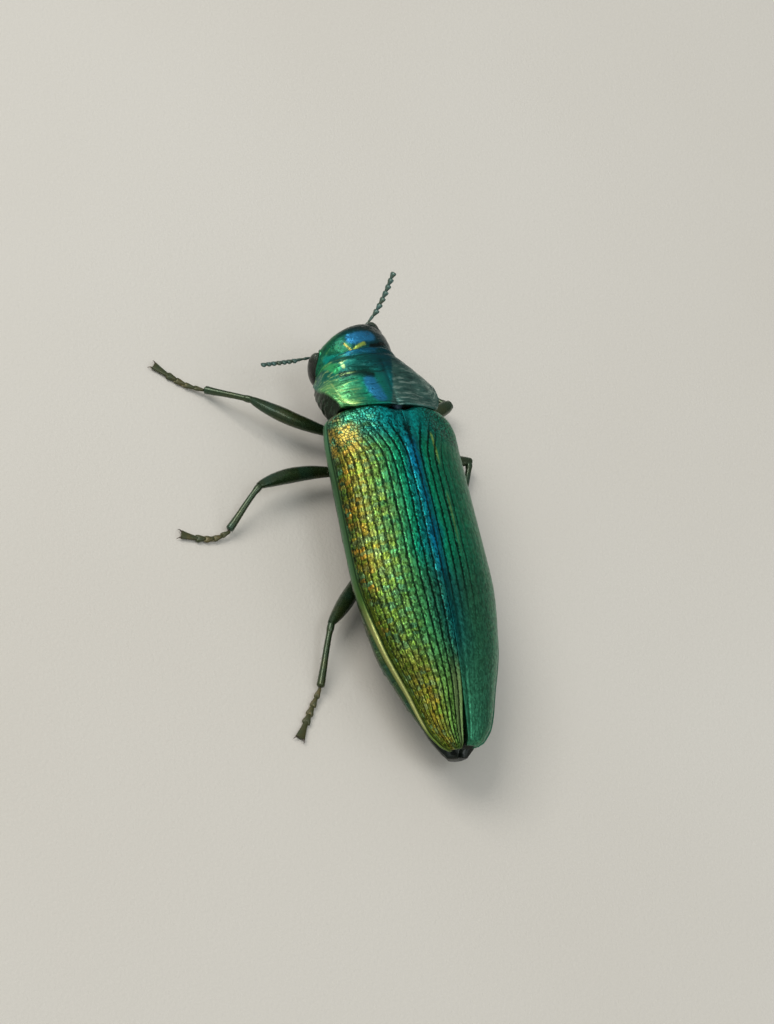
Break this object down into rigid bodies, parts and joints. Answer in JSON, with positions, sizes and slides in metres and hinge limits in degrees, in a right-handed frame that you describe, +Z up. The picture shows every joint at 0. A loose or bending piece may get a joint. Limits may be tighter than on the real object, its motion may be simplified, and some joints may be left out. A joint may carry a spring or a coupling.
{
  "type": "jewel beetle",
  "caption": "Life-size jewel beetle standing still: long arched metallic wing cases, head turned to its left, short saw-edged feelers and spread legs whose feet rest flat on the floor.",
  "frame": {"origin": "on the floor, under the middle of the stance's bounding box", "axes": "+Y towards the tail, so the head is at -Y; +X towards the beetle's own left; +Z up from the floor the feet stand on"},
  "size_m": [0.0158, 0.0242, 0.0054],
  "materials": {
    "wing_case": "metallic green, gold at the outer shoulder and blue along the seam, ribbed and punctured",
    "pronotum": "metallic emerald with blue and yellow-green patches, polished",
    "scutellum": "metallic blue-green, polished",
    "head": "metallic blue-green, finely punctured",
    "underbody": "dark coppery green, polished",
    "eye": "dark olive brown, satin",
    "antenna": "dark olive, matte",
    "jaw": "near black, polished",
    "leg": "dark metallic olive, polished",
    "foot": "dark olive with paler pads, satin"
  },
  "bodies": {
    "root": {"elytron_left": "wing_case", "elytron_right": "wing_case", "thorax": "underbody", "abdomen": "underbody", "pronotum": "pronotum", "scutellum": "scutellum", "head": "head", "eye_left": "eye", "eye_right": "eye", "antenna_left": "antenna", "antenna_right": "antenna", "mandible_left": "jaw", "mandible_right": "jaw", "coxa_front_left": "leg", "femur_front_left": "leg", "tibia_front_left": "leg", "tarsus_front_left": "foot", "coxa_front_right": "leg", "femur_front_right": "leg", "tibia_front_right": "leg", "tarsus_front_right": "foot", "coxa_middle_left": "leg", "femur_middle_left": "leg", "tibia_middle_left": "leg", "tarsus_middle_left": "foot", "coxa_middle_right": "leg", "femur_middle_right": "leg", "tibia_middle_right": "leg", "tarsus_middle_right": "foot", "coxa_hind_left": "leg", "femur_hind_left": "leg", "tibia_hind_left": "leg", "tarsus_hind_left": "foot", "coxa_hind_right": "leg", "femur_hind_right": "leg", "tibia_hind_right": "leg", "tarsus_hind_right": "foot"}
  },
  "joints": []
}
